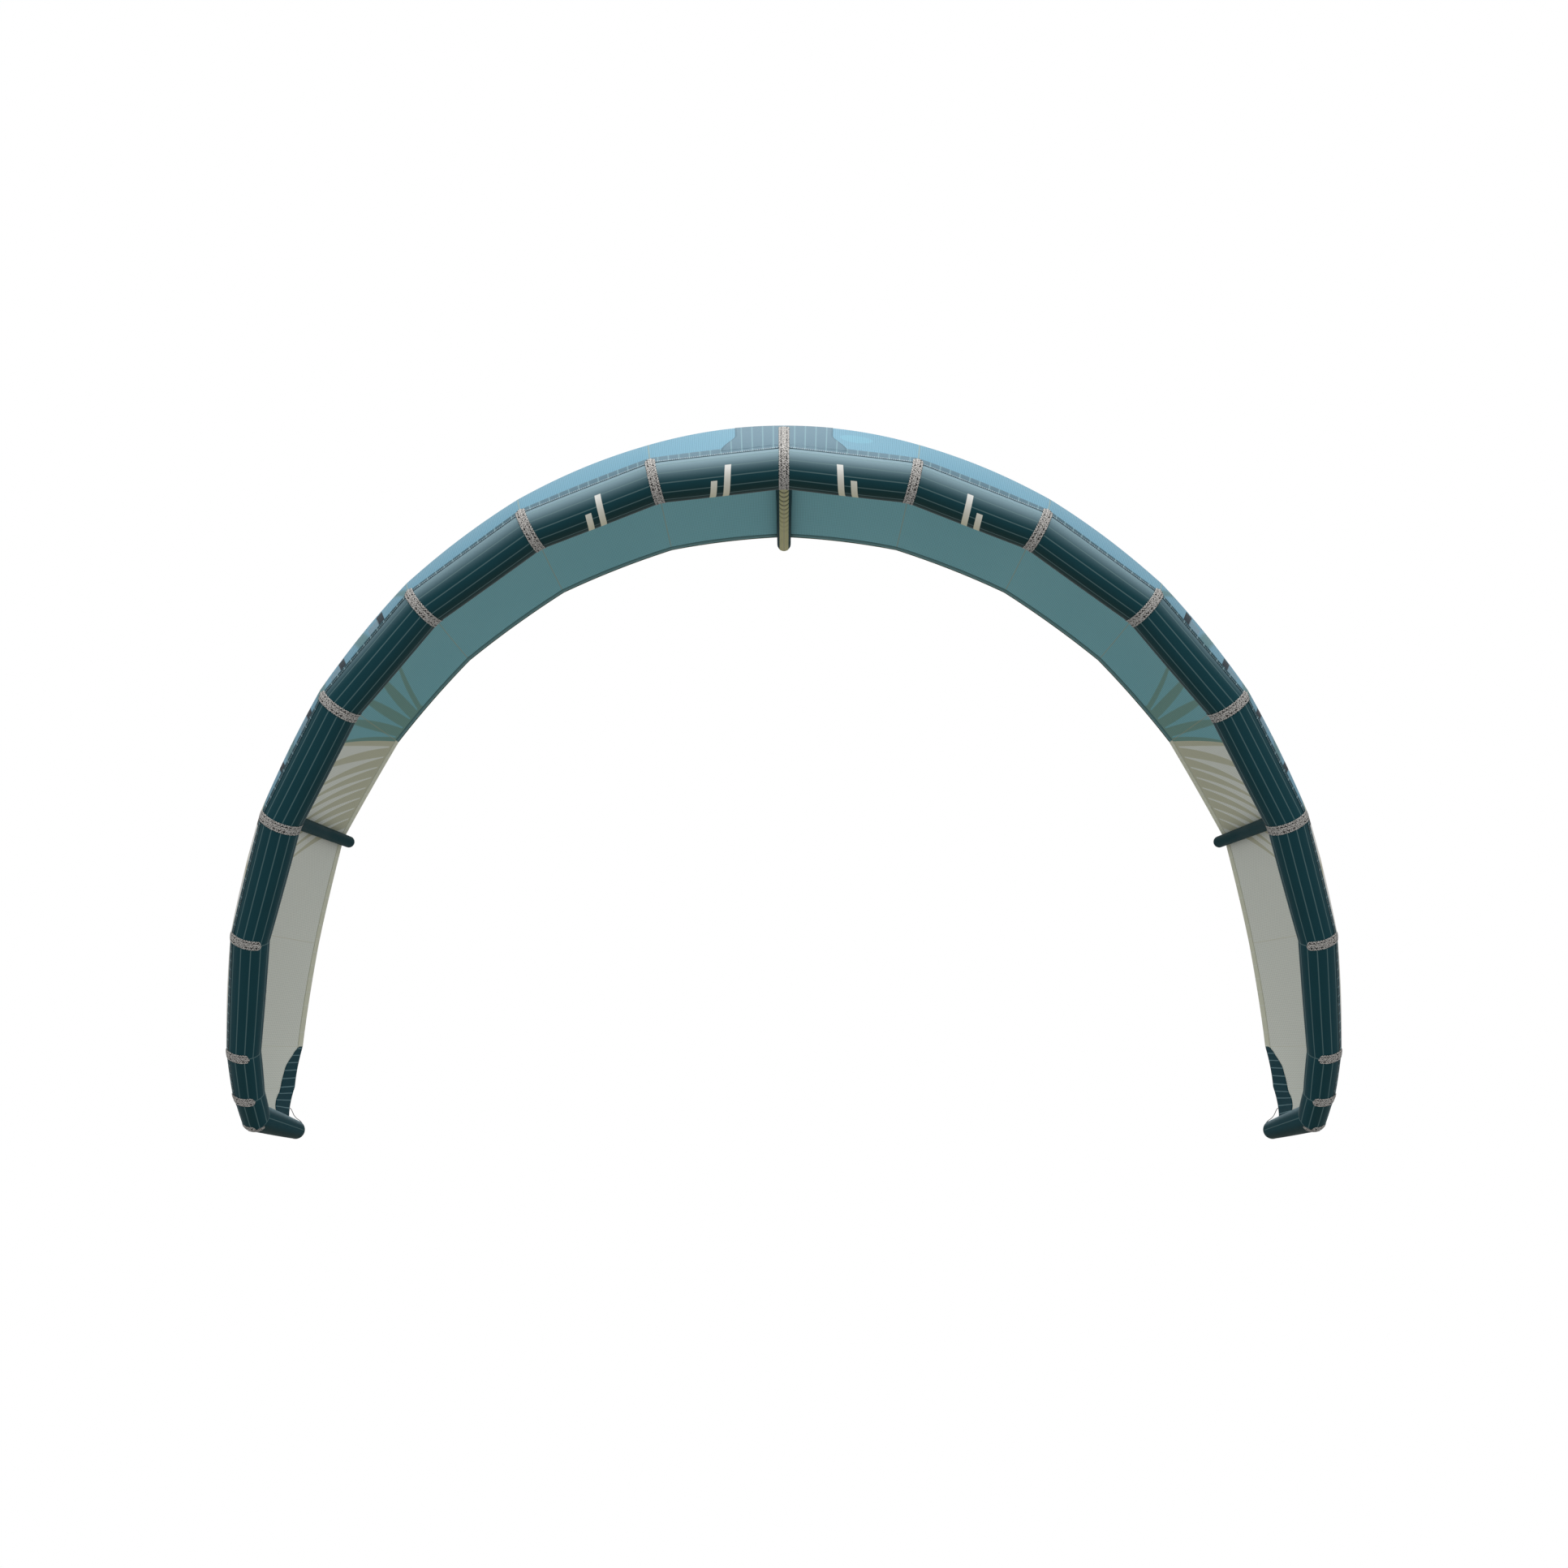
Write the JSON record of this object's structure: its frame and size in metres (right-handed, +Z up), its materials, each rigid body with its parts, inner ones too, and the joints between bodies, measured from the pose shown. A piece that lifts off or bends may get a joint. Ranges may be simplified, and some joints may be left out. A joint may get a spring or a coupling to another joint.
{
  "type": "inflatable kitesurfing kite",
  "caption": "Arched leading edge inflatable kite with a tapered air tube, three air struts, a sewn panel canopy, air hoses and an inflation valve.",
  "frame": {"origin": "middle of the leading edge, on the tube's axis", "axes": "+X to the right wing tip as seen from the front, +Y back to the trailing edge, +Z up"},
  "size_m": [4.5126, 1.8255, 2.9091],
  "materials": {
    "casing_cloth": "matt woven polyester with light printed lines",
    "blue_canopy_cloth": "fine ripstop, light blue",
    "white_canopy_cloth": "fine ripstop, off white",
    "trim_cloth": "dark teal woven polyester",
    "patch_webbing": "coarse grey weave",
    "wear_strip_cloth": "khaki weave",
    "bladder_film": "clear film",
    "hose_rubber": "smooth",
    "black_plastic": "moulded",
    "loop_webbing": "flat webbing",
    "cord_braid": "braided"
  },
  "bodies": {
    "kite": {"centre_tube_panel_left": "casing_cloth", "centre_tube_panel_right": "casing_cloth", "leading_edge_casing_left": "casing_cloth", "leading_edge_casing_right": "casing_cloth", "leading_edge_bladder": "bladder_film", "tip_end_caps": "casing_cloth", "centre_seam_patch": "patch_webbing", "seam_patches_left": "patch_webbing", "seam_patches_right": "patch_webbing", "join_tape_left": "trim_cloth", "join_tape_right": "trim_cloth", "canopy_panel_1_left": "blue_canopy_cloth", "canopy_panel_2_left": "blue_canopy_cloth", "canopy_panel_3_left": "blue_canopy_cloth", "canopy_panel_4_left": "blue_canopy_cloth", "canopy_panel_5_left": "white_canopy_cloth", "canopy_panel_6_left": "white_canopy_cloth", "canopy_panel_7_left": "white_canopy_cloth", "canopy_panel_8_left": "white_canopy_cloth", "canopy_panel_9_left": "white_canopy_cloth", "canopy_panel_1_right": "blue_canopy_cloth", "canopy_panel_2_right": "blue_canopy_cloth", "canopy_panel_3_right": "blue_canopy_cloth", "canopy_panel_4_right": "blue_canopy_cloth", "canopy_panel_5_right": "white_canopy_cloth", "canopy_panel_6_right": "white_canopy_cloth", "canopy_panel_7_right": "white_canopy_cloth", "canopy_panel_8_right": "white_canopy_cloth", "canopy_panel_9_right": "white_canopy_cloth", "tip_corner_panel_left": "trim_cloth", "tip_corner_panel_right": "trim_cloth", "trailing_edge_hem_left": "trim_cloth", "trailing_edge_hem_right": "trim_cloth", "centre_reinforcement": "casing_cloth", "centre_strut_casing": "casing_cloth", "side_strut_casing_left": "casing_cloth", "side_strut_casing_right": "casing_cloth", "centre_strut_bladder": "bladder_film", "side_strut_bladder_left": "bladder_film", "side_strut_bladder_right": "bladder_film", "strut_end_caps": "casing_cloth", "centre_strut_wear_strip": "wear_strip_cloth", "hose_outlets": "black_plastic", "air_hose_centre": "hose_rubber", "air_hose_left": "hose_rubber", "air_hose_right": "hose_rubber", "hose_clip_bases": "black_plastic", "valve_base": "black_plastic", "front_line_loops": "loop_webbing", "rear_line_loops": "loop_webbing", "tip_cord_left": "cord_braid", "tip_cord_right": "cord_braid"},
    "valve_body": {"valve_body": "black_plastic"},
    "valve_cap": {"valve_cap": "black_plastic"},
    "valve_flap": {"valve_flap": "bladder_film"},
    "hose_clip_lever_centre": {"hose_clip_lever_centre": "black_plastic"},
    "hose_clip_lever_left": {"hose_clip_lever_left": "black_plastic"},
    "hose_clip_lever_right": {"hose_clip_lever_right": "black_plastic"}
  },
  "joints": [
    {"name": "valve_turn", "type": "hinge", "parent": "kite", "child": "valve_body", "pos_m": [0.22206, 0.08026, -0.06868], "axis": [-0.0742, 0.8658, -0.4948], "range_deg": [0, 60]},
    {"name": "valve_cap_hinge", "type": "hinge", "parent": "valve_body", "child": "valve_cap", "pos_m": [0.2235, 0.09917, -0.05218], "axis": [0.9935, 0.0214, -0.1114], "range_deg": [0, 150]},
    {"name": "valve_flap_hinge", "type": "hinge", "parent": "valve_body", "child": "valve_flap", "pos_m": [0.22448, 0.07242, -0.0486], "axis": [-0.9935, -0.0214, 0.1114], "range_deg": [0, 30], "stiffness_Nm_per_rad": 0.001},
    {"name": "hose_clip_centre", "type": "hinge", "parent": "kite", "child": "hose_clip_lever_centre", "pos_m": [0, 0.13034, -0.04459], "axis": [-1, 0, 0], "range_deg": [0, 60]},
    {"name": "hose_clip_right", "type": "hinge", "parent": "kite", "child": "hose_clip_lever_right", "pos_m": [1.92756, 0.4333, -1.37195], "axis": [-0.3978, 0.0584, 0.9156], "range_deg": [0, 60]},
    {"name": "hose_clip_left", "type": "hinge", "parent": "kite", "child": "hose_clip_lever_left", "pos_m": [-1.92756, 0.4333, -1.37195], "axis": [-0.3978, -0.0584, -0.9156], "range_deg": [0, 60]}
  ]
}
